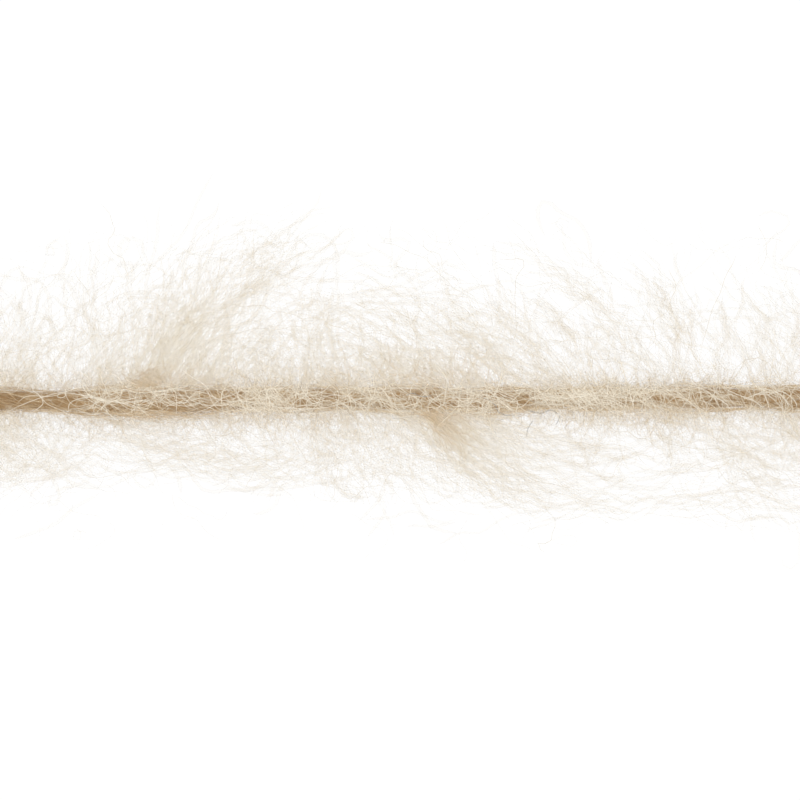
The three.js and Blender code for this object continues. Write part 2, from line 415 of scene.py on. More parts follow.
def tube_arrays(paths, width):
    """Closed, pointed tubes, one for each path: where their corners are, and their faces."""
    fibres, points = paths.shape[:2]
    across, up = frames_along(paths)
    rings = points - 2
    share = np.arange(1, points - 1) / (points - 1)
    swell = np.clip(np.minimum(share, 1 - share) / TAPER, TIP_WIDTH, 1)
    radius = width[:, None] / 2 * swell[None, :]
    turns = 2 * np.pi * np.arange(FIBRE_SIDES) / FIBRE_SIDES
    ring = paths[:, 1:-1, None] + radius[..., None, None] * (
        across[:, 1:-1, None] * np.cos(turns)[:, None] + up[:, 1:-1, None] * np.sin(turns)[:, None]
    )
    vertices = np.concatenate(
        [ring.reshape(fibres, rings * FIBRE_SIDES, 3), paths[:, :1], paths[:, -1:]], 1
    )
    each = rings * FIBRE_SIDES + 2
    k, j = np.meshgrid(np.arange(rings - 1), np.arange(FIBRE_SIDES), indexing="ij")
    k, j = k.ravel(), j.ravel()
    beside = (j + 1) % FIBRE_SIDES
    here, ahead = k * FIBRE_SIDES, (k + 1) * FIBRE_SIDES
    quads = np.stack([here + j, here + beside, ahead + beside, ahead + j], 1)
    quad_u = np.stack([share[k], share[k], share[k + 1], share[k + 1]], 1)
    quad_v = np.stack([j, j + 1, j + 1, j], 1) / FIBRE_SIDES
    j = np.arange(FIBRE_SIDES)
    beside = (j + 1) % FIBRE_SIDES
    last = (rings - 1) * FIBRE_SIDES
    root_tip = np.stack([np.full(FIBRE_SIDES, each - 2), beside, j], 1)
    far_tip = np.stack([np.full(FIBRE_SIDES, each - 1), last + j, last + beside], 1)
    tips = np.concatenate([root_tip, far_tip])
    tip_u = np.repeat([[0.0, share[0], share[0]], [1.0, share[-1], share[-1]]], FIBRE_SIDES, 0)
    root_v = np.stack([j + 0.5, j + 1, j], 1)
    far_v = np.stack([j + 0.5, j, j + 1], 1)
    tip_v = np.concatenate([root_v, far_v]) / FIBRE_SIDES
    start = (np.arange(fibres) * each)[:, None, None]
    quads = (quads[None] + start).reshape(-1, 4)
    tips = (tips[None] + start).reshape(-1, 3)
    along = np.concatenate([np.repeat(share, FIBRE_SIDES), [0.0, 1.0]])
    quad_place = np.stack([quad_u, quad_v], -1).reshape(-1, 2)
    tip_place = np.stack([tip_u, tip_v], -1).reshape(-1, 2)
    return vertices.reshape(-1, 3), quads, tips, np.tile(along, fibres), quad_place, tip_place


class Fibres:
    """Fibres that will be one mesh."""

    def __init__(self):
        self.batches = []

    def add(self, paths, width, tone):
        if len(paths):
            self.batches.append((paths, width, tone))

    def mesh(self, name, material, smooth=True):
        vertices, quads, tips, along, tones, quad_uv, tip_uv = [], [], [], [], [], [], []
        total = sum(len(paths) for paths, width, tone in self.batches)
        columns = max(1, round(math.sqrt(total) / 2))
        rows = math.ceil(total / columns)
        first = 0
        fibre = 0
        for paths, width, tone in self.batches:
            v, q, t, a, quad_place, tip_place = tube_arrays(paths, width)
            vertices.append(v)
            quads.append(q + first)
            tips.append(t + first)
            along.append(a)
            tones.append(np.repeat(tone, len(v) // len(paths)))
            number = np.arange(fibre, fibre + len(paths))
            cell = np.stack([number % columns, number // columns], 1)[:, None]
            grid = np.array([columns, rows])
            for places, corners in ((quad_uv, quad_place), (tip_uv, tip_place)):
                places.append(((cell + CELL_START + CELL_SPAN * corners) / grid).reshape(-1, 2))
            first += len(v)
            fibre += len(paths)
        vertices = np.concatenate(vertices) * MM
        quads, tips = np.concatenate(quads), np.concatenate(tips)
        piece = mesh_piece(name, vertices, quads, tips, material, smooth)
        add_values(piece, "along_fibre", np.concatenate(along))
        add_values(piece, "fibre_tone", np.concatenate(tones))
        add_map(piece, np.concatenate(quad_uv + tip_uv))
        return piece


def mesh_piece(name, vertices, quads, tips, material, smooth=True):
    mesh = bpy.data.meshes.new(name)
    mesh.vertices.add(len(vertices))
    mesh.vertices.foreach_set("co", vertices.astype(np.float32).ravel())
    mesh.loops.add(quads.size + tips.size)
    corners = np.concatenate([quads.ravel(), tips.ravel()])
    mesh.loops.foreach_set("vertex_index", corners.astype(np.int32))
    sizes = np.concatenate([np.full(len(quads), 4), np.full(len(tips), 3)])
    starts = np.concatenate([[0], np.cumsum(sizes)[:-1]])
    mesh.polygons.add(len(sizes))
    mesh.polygons.foreach_set("loop_start", starts.astype(np.int32))
    mesh.polygons.foreach_set("use_smooth", np.full(len(sizes), smooth))
    mesh.update(calc_edges=True)
    mesh.validate()
    mesh.materials.append(material)
    piece = bpy.data.objects.new(name, mesh)
    bpy.context.scene.collection.objects.link(piece)
    return piece


def add_map(piece, places):
    """Places of the piece's face corners on its map named OFBake, on which its finish can be baked.
    """
    layer = piece.data.uv_layers.new(name="OFBake")
    layer.data.foreach_set("uv", places.astype(np.float32).ravel())


def add_values(piece, name, values):
    attribute = piece.data.attributes.new(name, "FLOAT", "POINT")
    attribute.data.foreach_set("value", values.astype(np.float32))


# ---------------------------------------------------------------------------------------------
# Ways that fibres take
# ---------------------------------------------------------------------------------------------

# How far the highest fibres of each sort may rise, and how curly they are where no table says.
LOCK_TOP = 3.0
DRIFT_TOP = 2.6
FUZZ_TOP, FUZZ_CURL = 2.4, 0.9
TUFT_TOP, TUFT_CURL = 2.2, 0.6
CROSSING_TOP, CROSSING_CURL = 2.4, 0.5
FLOOR_CLEARANCE = 0.12

# Fibres of like length are made together, with as many points as the longest of them needs.
LENGTH_STEPS = (0.9, 1.5, 2.4, 3.6, 5.2, 7.2, 12.0)
LEAST_POINTS = 7
KINK_LENGTH = 0.8
HEIGHT_WAVER = 0.16
CRIMP_HEIGHT = 0.05
STRETCH = (0.6, 1.9)

# Loops: how many fibres have one, how far it turns, how tightly, and where on the fibre it is.
LOOP_SHARE = 0.45
LOOP_TURN = (1.0, 6.0)
LOOP_TIGHTNESS = (1.2, 4.5)
LOOP_PLACE = (0.15, 0.7)


class Kind:
    """A kind of fibre: how many are in a wisp, their least and greatest width, how far apart the
    points on them are, how crimped they are, the crimp's length, and how loose the wisp is."""

    def __init__(self, in_wisp, width, spacing, crimp, crimp_length, loose):
        self.in_wisp = in_wisp
        self.width = width
        self.spacing = spacing
        self.crimp = crimp
        self.crimp_length = crimp_length
        self.loose = loose


FINE = Kind(8, (0.013, 0.026), 0.22, (0.05, 0.42), (0.7, 1.8), 0.40)
DOWN = Kind(5, (0.08, 0.24), 0.38, (0.00, 0.12), (1.5, 3.0), 0.45)
HAIR = Kind(1, (0.012, 0.020), 0.28, (0.10, 0.50), (0.7, 1.8), 0.40)
BROWN = Kind(1, (0.014, 0.034), 0.26, (0.00, 0.20), (0.8, 2.0), 0.35)
TUFT = Kind(1, (0.030, 0.090), 0.30, (0.00, 0.20), (0.8, 2.0), 0.35)
LOOSE = Kind(1, (0.013, 0.024), 0.15, (0.05, 0.32), (0.7, 2.0), 0.30)
COVER = Kind(1, (0.030, 0.070), 0.20, (0.10, 0.30), (0.8, 1.6), 0.30)
SLEEVE = Kind(1, (0.030, 0.080), 0.36, (0.00, 0.12), (1.5, 3.0), 0.45)


def grown(rng, roots, heading, length, sweep, waver, curl, points, rise, kind):
    """Ways of fibres that grow from their roots over the surface, each at its heading."""
    fibres = len(roots)
    share = np.linspace(0, 1, points)
    run = length[:, None] * share
    step = length / (points - 1)
    turn = heading[:, None] + sweep[:, None] * share
    knots = max(3, round(float(length.mean()) / KINK_LENGTH))
    turn = turn + wander(rng, fibres, points, knots, 1.0) * waver[:, None]
    turn = turn + looped(rng, run, length, curl)
    wave = rng.uniform(*kind.crimp_length, fibres)
    phase = rng.uniform(0, 2 * np.pi, fibres)
    crimp = rng.uniform(*kind.crimp, fibres) * (0.6 + 0.8 * curl)
    turn = turn + crimp[:, None] * np.sin(2 * np.pi * run / wave[:, None] + phase[:, None])
    moves = np.stack([np.cos(turn), np.sin(turn)], -1) * step[:, None, None]
    flat = np.cumsum(moves, 1) - moves[:, :1]
    paths = np.empty((fibres, points, 3))
    paths[..., :2] = roots[:, None, :2] + flat
    end_height = rise * rng.beta(1.6, 2.0, fibres)
    height = roots[:, None, 2] + (end_height - roots[:, 2])[:, None] * (1 - (1 - share) ** 2)
    height = height + wander(rng, fibres, points, 6, HEIGHT_WAVER) * np.sqrt(share)
    height = height + CRIMP_HEIGHT * np.cos(2 * np.pi * run / wave[:, None] + phase[:, None])
    paths[..., 2] = FLOOR_CLEARANCE + np.abs(height - FLOOR_CLEARANCE)
    return paths


def looped(rng, run, length, curl):
    """How far each fibre has turned in its loop, if it has one: a short tight bend part way."""
    fibres = len(length)
    loops = rng.random(fibres) < LOOP_SHARE * curl
    most = np.where(loops, rng.uniform(*LOOP_TURN, fibres), 0)[:, None]
    tightness = rng.uniform(*LOOP_TIGHTNESS, fibres)[:, None]
    start = (rng.uniform(*LOOP_PLACE, fibres) * length)[:, None]
    way = rng.choice([-1, 1], fibres)[:, None]
    return way * np.clip((run - start) * tightness, 0, most)


def stretched(roots, extent, paths, chosen):
    """Ways resized about their roots so that each reaches its own distance from the strand."""
    base = roots[chosen][:, None, :2]
    out = np.abs(paths[..., 1] - base[..., 1]).max(1)
    scale = np.clip(extent[chosen] / np.maximum(out, 0.05), *STRETCH)[:, None, None]
    paths[..., :2] = base + (paths[..., :2] - base) * scale
    return paths


def centred(roots, paths, chosen):
    """Ways moved so that each has its middle over its root."""
    paths[..., :2] -= (paths.mean(1) - roots[chosen])[:, None, :2]
    return paths


def by_length(length, spacing):
    """Groups of fibres by length, with how many points each group's ways have."""
    shorter = 0.0
    for longest in LENGTH_STEPS:
        chosen = (length > shorter) & (length <= longest)
        if chosen.any():
            yield chosen, max(LEAST_POINTS, math.ceil(longest / spacing))
        shorter = longest


def inside_ends(paths):
    """Keeps a fibre from passing the yarn's cut ends."""
    paths[..., 0] = np.clip(paths[..., 0], -FIBRE_END, FIBRE_END)
    return paths


def add_grown(fibres, rng, kind, ways, curl, top, settle=None):
    """Grows fibres from their roots, and adds them in groups of like length. Ways holds their
    roots, headings, lengths, sweeps and wavers, and settle lays each group before it is added."""
    for chosen, points in by_length(ways[2], kind.spacing):
        paths = grown(rng, *(values[chosen] for values in ways), curl, points, top, kind)
        if settle:
            paths = settle(paths, chosen)
        count = len(paths)
        fibres.add(inside_ends(paths), rng.uniform(*kind.width, count), rng.random(count))


# Scatter in a lock, in degrees: a wisp's sweep, and each fibre's own lean and sweep.
WISP_SWEEP, FIBRE_LEAN, FIBRE_SWEEP = 14, 14, 18
LONGEST_FIBRE = 11.9


def add_lock(fibres, rng, lock, side, kind):
    """Adds the wisps of one lock. Side is 1 for the far side and -1 for the near side."""
    wisps = lock["wisps"]
    many = wisps * kind.in_wisp
    wisp = np.repeat(np.arange(wisps), kind.in_wisp)
    wisp_root = lock["along"] + lock["spread"] * rng.uniform(-1, 1, wisps)
    wisp_lean = lock["lean"] + rng.normal(0, lock["fan"], wisps)
    wisp_extent = lock["reach"] * (lock["least"] + (1 - lock["least"]) * rng.random(wisps) ** 1.2)
    wisp_sweep = lock["sweep"] + rng.normal(0, WISP_SWEEP, wisps)
    along = wisp_root[wisp] + rng.normal(0, kind.loose, many)
    lean = np.radians(wisp_lean[wisp] + rng.normal(0, FIBRE_LEAN, many))
    heading = side * (np.pi / 2 - lean)
    sweep = -side * np.radians(wisp_sweep[wisp] + rng.normal(0, FIBRE_SWEEP, many))
    extent = wisp_extent[wisp] * rng.uniform(0.6, 1.1, many)
    middle_lean = np.clip(np.abs(lean) + 0.5 * np.abs(sweep), 0, 1.2)
    length = np.clip(1.15 * extent / np.cos(middle_lean) + 0.3, 0.5, LONGEST_FIBRE)
    angle = np.where(side > 0, 0.0, np.pi) + rng.normal(0, 0.7, many)
    roots = on_strand(along, angle, rng.uniform(0.6, 1.0, many))
    waver = rng.uniform(0.18, 0.60, many) * (0.6 + lock["curl"])
    ways = (roots, heading, length, sweep, waver)
    settle = partial(stretched, roots, extent)
    add_grown(fibres, rng, kind, ways, lock["curl"], LOCK_TOP, settle)


def add_fuzz(fibres, rng, count, reach, side, kind):
    """Adds short curly fibres all along one side of the strand."""
    along = rng.uniform(-HALF_LENGTH, HALF_LENGTH, count)
    angle = np.where(side > 0, 0.0, np.pi) + rng.normal(0, 0.9, count)
    roots = on_strand(along, angle, rng.uniform(0.8, 1.0, count))
    lean = rng.normal(0, 0.8, count)
    heading = side * (np.pi / 2 - lean)
    length = 0.25 + rng.gamma(2.2, reach / 2.2, count)
    sweep = rng.normal(0, 0.9, count)
    waver = rng.uniform(0.3, 0.8, count)
    add_grown(fibres, rng, kind, (roots, heading, length, sweep, waver), FUZZ_CURL, FUZZ_TOP)


def add_drift(fibres, rng, row, side, kind, many):
    """Adds fibres that run on through the pile at one side of the strand."""
    count = round(row["fibres"] * many)
    place = rng.uniform(row["first"], row["last"], count)
    out = rng.uniform(row["low"], row["high"], count)
    roots = np.stack([place, side * out, rng.uniform(0.4, 2.4, count)], -1)
    heading = np.radians(row["run"] + rng.normal(0, row["fan"], count))
    length = rng.uniform(1.6, 5.0, count)
    sweep = rng.normal(0, 0.5, count)
    waver = rng.uniform(0.2, 0.6, count)
    ways = (roots, heading, length, sweep, waver)
    add_grown(fibres, rng, kind, ways, row["curl"], DRIFT_TOP, partial(centred, roots))


def add_tress(fibres, rng, row, side, kind, many):
    """Adds fibres that keep together along one bent line."""
    count = round(row["fibres"] * many)
    start = np.array([row["start"], side * row["start_out"]])
    by = np.array([row["by"], side * row["by_out"]])
    end = np.array([row["end"], side * row["end_out"]])
    pull = 2 * by - (start + end) / 2
    reach = np.linalg.norm(by - start) + np.linalg.norm(end - by)
    points = max(LEAST_POINTS, math.ceil(0.85 * reach / kind.spacing))
    first = rng.uniform(-0.10, 0.40, count)
    last = rng.uniform(0.55, 1.15, count)
    share = first[:, None] + (last - first)[:, None] * np.linspace(0, 1, points)
    run = share[..., None]
    line = start * (1 - run) ** 2 + 2 * pull * run * (1 - run) + end * run**2
    ahead = 2 * (pull - start) * (1 - run) + 2 * (end - pull) * run
    ahead /= np.linalg.norm(ahead, axis=2, keepdims=True)
    beside = np.stack([-ahead[..., 1], ahead[..., 0]], -1)
    off = rng.normal(0, 1, count)[:, None] * (0.35 + 0.65 * share)
    off = off + wander(rng, count, points, 5, 0.6)
    off = row["breadth"] * off
    wave = rng.uniform(*kind.crimp_length, count)[:, None]
    phase = rng.uniform(0, 2 * np.pi, count)[:, None]
    crimp = rng.uniform(*kind.crimp, count)[:, None] * wave / (2 * np.pi)
    off = off + crimp * np.sin(2 * np.pi * share * reach / wave + phase)
    paths = np.empty((count, points, 3))
    paths[..., :2] = line + beside * off[..., None]
    paths[..., 2] = rng.uniform(0.5, 2.3, count)[:, None] + wander(rng, count, points, 4, 0.15)
    fibres.add(inside_ends(paths), rng.uniform(*kind.width, count), rng.random(count))


STRAY_STEPS = 7
STRAY_TONE = 0.1


def add_stray(fibres, rng, places, height, width):
    """Adds one fibre through the places given, eased between them."""
    places = np.array(places)
    knots = len(places) - 1
    share = np.linspace(0, knots, knots * STRAY_STEPS + 1)
    here = np.minimum(share.astype(int), knots - 1)
    t = (share - here)[:, None]
    padded = np.concatenate([2 * places[:1] - places[1:2], places, 2 * places[-1:] - places[-2:-1]])
    a, b, c, d = (padded[here + step] for step in range(4))
    line = 0.5 * (
        2 * b + (c - a) * t + (2 * a - 5 * b + 4 * c - d) * t**2 + (3 * b - a - 3 * c + d) * t**3
    )
    path = np.empty((1, len(share), 3))
    path[0, :, :2] = line
    path[0, :, 2] = height
    over_strand(path, rng)
    fibres.add(path, np.array([width]), np.array([STRAY_TONE]))


SLEEVE_POINTS = 10
SLEEVE_LENGTH = (0.8, 2.6)
SLEEVE_DEPTH = 0.92


def add_sleeve(fibres, rng, count, lift, kind):
    """Adds the soft down that lies along the strand's skin and lifts off it at one end."""
    length = rng.uniform(*SLEEVE_LENGTH, count)
    start = rng.uniform(-HALF_LENGTH, HALF_LENGTH, count)
    start = start[rng.random(count) < 0.3 + 0.7 * eased(STRAND_COVER, start, 1)]
    count = len(start)
    length = length[:count]
    way = rng.choice([-1, 1], count)
    share = np.linspace(0, 1, SLEEVE_POINTS)
    along = start[:, None] + (way * length)[:, None] * share
    angle = (rng.choice([0, np.pi], count) + rng.normal(0, 0.5, count))[:, None]
    angle = angle + np.pi * (along - start[:, None]) / TWIST_PITCH
    angle = angle + wander(rng, count, SLEEVE_POINTS, 3, 0.22)
    lifted = np.abs(rng.normal(0, lift, count))[:, None] * (0.15 + 0.85 * share)
    paths = on_strand(np.clip(along, -FIBRE_END, FIBRE_END), angle, SLEEVE_DEPTH + lifted)
    fibres.add(paths, rng.uniform(*kind.width, count), rng.random(count))


def add_tuft(fibres, rng, along, spread, side, lean, reach, count, kind):
    """Adds one dense short tuft."""
    place = rng.normal(along, spread, count)
    angle = np.where(side > 0, 0.0, np.pi) + rng.normal(0, 0.8, count)
    roots = on_strand(place, angle, rng.uniform(0.7, 1.0, count))
    heading = side * (np.pi / 2 - np.radians(lean) - rng.normal(0, 0.45, count))
    length = reach * rng.uniform(0.3, 1.3, count)
    sweep = rng.normal(0, 0.7, count)
    waver = rng.uniform(0.2, 0.6, count)
    add_grown(fibres, rng, kind, (roots, heading, length, sweep, waver), TUFT_CURL, TUFT_TOP)


SPUN_POINTS = 20
SPUN_LENGTH = (2.0, 5.0)


def add_spun(fibres, rng, count, depth, lay, width):
    """Adds fibres that lie in the twist of the strand, at a depth between the two given."""
    length = rng.uniform(*SPUN_LENGTH, count)
    start = rng.uniform(-HALF_LENGTH - 2, HALF_LENGTH - 1, count)
    share = np.linspace(0, 1, SPUN_POINTS)
    along = start[:, None] + length[:, None] * share
    pitch = TWIST_PITCH * rng.uniform(0.55, 1.2, count)
    angle = rng.uniform(0, 2 * np.pi, count)[:, None]
    angle = angle + 2 * np.pi * (along - start[:, None]) / pitch[:, None]
    angle = angle + wander(rng, count, SPUN_POINTS, 5, lay)
    deep = rng.uniform(*depth, count)[:, None] + wander(rng, count, SPUN_POINTS, 6, 0.035)
    paths = on_strand(np.clip(along, -STRAND_END, STRAND_END), angle, deep)
    fibres.add(paths, rng.uniform(*width, count), rng.random(count))


def add_crossing(fibres, rng, tries, length, lay, kind):
    """Adds loose fibres that wind over the strand's back, where it is covered."""
    along = rng.uniform(-HALF_LENGTH, HALF_LENGTH, tries)
    along = along[rng.random(tries) < eased(STRAND_COVER, along, 1)]
    count = len(along)
    angle = np.pi / 2 - 0.9 * eased(STRAND_COVER, along, 2) + rng.normal(0, 0.7, count)
    roots = on_strand(along, angle, 1.04)
    run = np.radians(eased(STRAND_COVER, along, 3))
    heading = rng.choice([0, np.pi], count) + run + rng.normal(0, lay, count)
    length = rng.uniform(*length, count)
    sweep = rng.normal(0, 0.75, count)
    waver = rng.uniform(0.20, 0.60, count)

    def laid(paths, chosen):
        paths = centred(roots, paths, chosen)
        paths = paths[clear_of_patches(paths, rng)]
        return over_strand(paths, rng)

    ways = (roots, heading, length, sweep, waver)
    add_grown(fibres, rng, kind, ways, CROSSING_CURL, CROSSING_TOP, laid)


def clear_of_patches(paths, rng):
    """Which ways to keep: the more of a way lies in the bare patches, the likelier it goes."""
    inside = np.zeros(paths.shape[:2], bool)
    for along, across, long, wide in BARE_PATCHES:
        off = ((paths[..., 0] - along) / long) ** 2 + ((paths[..., 1] - across) / wide) ** 2
        inside |= off < 1
    return rng.random(len(paths)) > np.clip(2.8 * inside.mean(1), 0, 0.88)


def over_strand(paths, rng):
    """Lifts ways to lie on the strand's back where they cross it, and gives them back."""
    centre = strand_centre(paths[..., 0])
    across = paths[..., 1] - centre[..., 1]
    radius = strand_radius(paths[..., 0]) * (1.02 + 0.16 * rng.random((len(paths), 1)))
    rise = np.sqrt(np.clip(radius**2 - across**2, 0, None))
    back = STRAND_HEIGHT + rise
    over = np.clip(rise / 0.25, 0, 1)
    paths[..., 2] = paths[..., 2] * (1 - over) + back * over
    return paths


# ---------------------------------------------------------------------------------------------
# Finishes
# ---------------------------------------------------------------------------------------------

PALE = (0.965, 0.935, 0.87)
DEEP = (0.865, 0.79, 0.66)
# The root tone: fibres turn browner towards their roots, as painted shade where they crowd at the
# strand.
ROOT_SHADE = (0.88, 0.79, 0.65)
FIBRE_FINISHES = {
    # finish: the pale and the deep tone, how much painted shade browns the roots, and how solid the
    # fibres look
    # The spun fibres are darker than the loose ones as painted shade inside the strand's twist,
    # since they cast no shadow on one another.
    "spun_fibre": ((0.84, 0.735, 0.58), (0.63, 0.50, 0.34), 0.0, 1.0),
    "haze_fibre": ((0.93, 0.855, 0.73), (0.79, 0.665, 0.485), 0.0, 0.085),
    "loose_fibre": ((0.96, 0.93, 0.87), (0.90, 0.85, 0.76), 0.0, 1.0),
    "brushed_fibre": (PALE, DEEP, 0.6, 0.12),
    "down_fibre": (PALE, DEEP, 0.7, 0.058),
    "sleeve_fibre": ((0.91, 0.83, 0.70), (0.77, 0.65, 0.475), 0.0, 0.20),
    # The root tresses are browner than the pile as painted shade at the plumes' crowded base.
    "root_fibre": ((0.91, 0.82, 0.675), (0.72, 0.58, 0.395), 0.0, 0.30),
    "grey_fibre": ((0.60, 0.60, 0.60), (0.54, 0.54, 0.54), 0.0, 0.90),
    "cover_fibre": (PALE, DEEP, 0.0, 0.14),
    "long_hair": (PALE, DEEP, 0.4, 0.45),
}

# The strand body's tones, darker than the loose fibres as painted shade inside the dense strand,
# and the streaks along its twist: their lean in degrees, and how closely they lie along it, across
# it and up it.
STRAND_SHADE_PALE = (0.70, 0.57, 0.40)
STRAND_SHADE_DEEP = (0.51, 0.385, 0.24)
STRAND_SHADE_ROOT = (0.58, 0.47, 0.33)
STREAK_LAY = -14
STREAK_SCALE = (700, 9000, 9000)


def srgb(red, green, blue):
    def linear(value):
        return value / 12.92 if value <= 0.04045 else ((value + 0.055) / 1.055) ** 2.4

    return (linear(red), linear(green), linear(blue), 1.0)


def set_inputs(node, **values):
    """Sets a shader node's inputs, with _ for each space in their names."""
    for name, value in values.items():
        node.inputs[name.replace("_", " ")].default_value = value
    return node


def colour_mix(nodes, blend_type="MIX"):
    mix = nodes.new("ShaderNodeMix")
    mix.data_type = "RGBA"
    mix.blend_type = blend_type
    return mix


def attribute_node(nodes, name):
    attribute = nodes.new("ShaderNodeAttribute")
    attribute.attribute_name = name
    return attribute


def join(links, *joints):
    """Joins nodes: each joint is a node and its output, then a node and its input."""
    for source, output, target, entry in joints:
        links.new(source.outputs[output], target.inputs[entry])


def fibre_tone_group():
    """Colour of a natural fibre: its own tone, cloudy changes, and a deeper tone at its root that
    is painted shade where the fibres crowd.
    """
    group = bpy.data.node_groups.new("fibre_tone", "ShaderNodeTree")
    sockets = group.interface
    for name in ("Pale", "Deep", "Root"):
        sockets.new_socket(name, in_out="INPUT", socket_type="NodeSocketColor")
    numbers = (("Cloud Size", 900), ("Cloud Share", 0.4), ("Root Share", 0.5), ("Root Length", 0.3))
    for name, value in numbers:
        socket = sockets.new_socket(name, in_out="INPUT", socket_type="NodeSocketFloat")
        socket.default_value = value
    sockets.new_socket("Color", in_out="OUTPUT", socket_type="NodeSocketColor")
    sockets.new_socket("Roughness", in_out="OUTPUT", socket_type="NodeSocketFloat")
    nodes, links = group.nodes, group.links
    start = nodes.new("NodeGroupInput")
    end = nodes.new("NodeGroupOutput")
    place = nodes.new("ShaderNodeTexCoord")
    cloud = set_inputs(nodes.new("ShaderNodeTexNoise"), Detail=2)
    own = attribute_node(nodes, "fibre_tone")
    along = attribute_node(nodes, "along_fibre")
    blend = nodes.new("ShaderNodeMix")
    shade = colour_mix(nodes)
    # Towards its root each fibre turns to the Root colour: painted shade where the fibres crowd.
    root_shaded = colour_mix(nodes)
    root_shade_fade = set_inputs(nodes.new("ShaderNodeMapRange"), From_Min=0.0, To_Max=0.0)
    root_shade_fade.interpolation_type = "SMOOTHSTEP"
    rough = set_inputs(nodes.new("ShaderNodeMapRange"), To_Min=0.55, To_Max=0.80)
    join(
        links,
        (place, "Object", cloud, "Vector"),
        (start, "Cloud Size", cloud, "Scale"),
        (start, "Cloud Share", blend, "Factor"),
        (own, "Fac", blend, "A"),
        (cloud, "Fac", blend, "B"),
        (blend, "Result", shade, "Factor"),
        (start, "Pale", shade, "A"),
        (start, "Deep", shade, "B"),
        (along, "Fac", root_shade_fade, "Value"),
        (start, "Root Length", root_shade_fade, "From Max"),
        (start, "Root Share", root_shade_fade, "To Min"),
        (root_shade_fade, "Result", root_shaded, "Factor"),
        (shade, "Result", root_shaded, "A"),
        (start, "Root", root_shaded, "B"),
        (blend, "Result", rough, "Value"),
        (root_shaded, "Result", end, "Color"),
        (rough, "Result", end, "Roughness"),
    )
    return group


def fibre_material(name, tone_group, pale, deep, root_shade_share, alpha=1.0):
    material = bpy.data.materials.new(name)
    material.use_nodes = True
    nodes, links = material.node_tree.nodes, material.node_tree.links
    shader = nodes["Principled BSDF"]
    set_inputs(shader, Specular_IOR_Level=0.25, Sheen_Weight=0.1, Alpha=alpha)
    tone = nodes.new("ShaderNodeGroup")
    tone.node_tree = tone_group
    set_inputs(tone, Pale=srgb(*pale), Deep=srgb(*deep), Root=srgb(*ROOT_SHADE), Root_Share=root_shade_share)
    join(
        links,
        (tone, "Color", shader, "Base Color"),
        (tone, "Roughness", shader, "Roughness"),
    )
    return material


def strand_material(tone_group):
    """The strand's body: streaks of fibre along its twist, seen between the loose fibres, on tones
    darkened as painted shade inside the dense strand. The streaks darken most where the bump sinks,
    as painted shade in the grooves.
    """
    material = fibre_material("packed_strand", tone_group, STRAND_SHADE_PALE, STRAND_SHADE_DEEP, 0.0)
    nodes, links = material.node_tree.nodes, material.node_tree.links
    shader = nodes["Principled BSDF"]
    tone = next(node for node in nodes if node.type == "GROUP")
    set_inputs(tone, Cloud_Share=0.9, Root=srgb(*STRAND_SHADE_ROOT))
    place = nodes.new("ShaderNodeTexCoord")
    lay = nodes.new("ShaderNodeMapping")
    set_inputs(lay, Rotation=(0, 0, math.radians(STREAK_LAY)), Scale=STREAK_SCALE)
    streak = set_inputs(nodes.new("ShaderNodeTexNoise"), Scale=1.0, Detail=3)
    bump = set_inputs(nodes.new("ShaderNodeBump"), Strength=0.5, Distance=0.05 * MM)
    # The streaks darken the tone where the bump sinks: painted shade in the grooves between the
    # fibres, over their own streaky tone.
    groove_shade = set_inputs(colour_mix(nodes, "MULTIPLY"), Factor=0.8)
    spread = nodes.new("ShaderNodeMapRange")
    set_inputs(spread, From_Min=0.30, From_Max=0.65, To_Min=0.70)
    join(
        links,
        (place, "Object", lay, "Vector"),
        (lay, "Vector", streak, "Vector"),
        (streak, "Fac", bump, "Height"),
        (streak, "Fac", spread, "Value"),
        (tone, "Color", groove_shade, "A"),
        (spread, "Result", groove_shade, "B"),
        (groove_shade, "Result", shader, "Base Color"),
        (bump, "Normal", shader, "Normal"),
    )
    return material


def make_finishes():
    tone = fibre_tone_group()
    # The strand body's finish is darkened as painted shade inside the dense strand.
    finishes = {"packed_strand": strand_material(tone)}
    for name, values in FIBRE_FINISHES.items():
        finishes[name] = fibre_material(name, tone, *values)
    return finishes


# ---------------------------------------------------------------------------------------------
# The strand, the camera, the light and the surface
# ---------------------------------------------------------------------------------------------

BODY_DEPTH = 0.75
BODY_STATIONS = 320
BODY_SIDES = 28


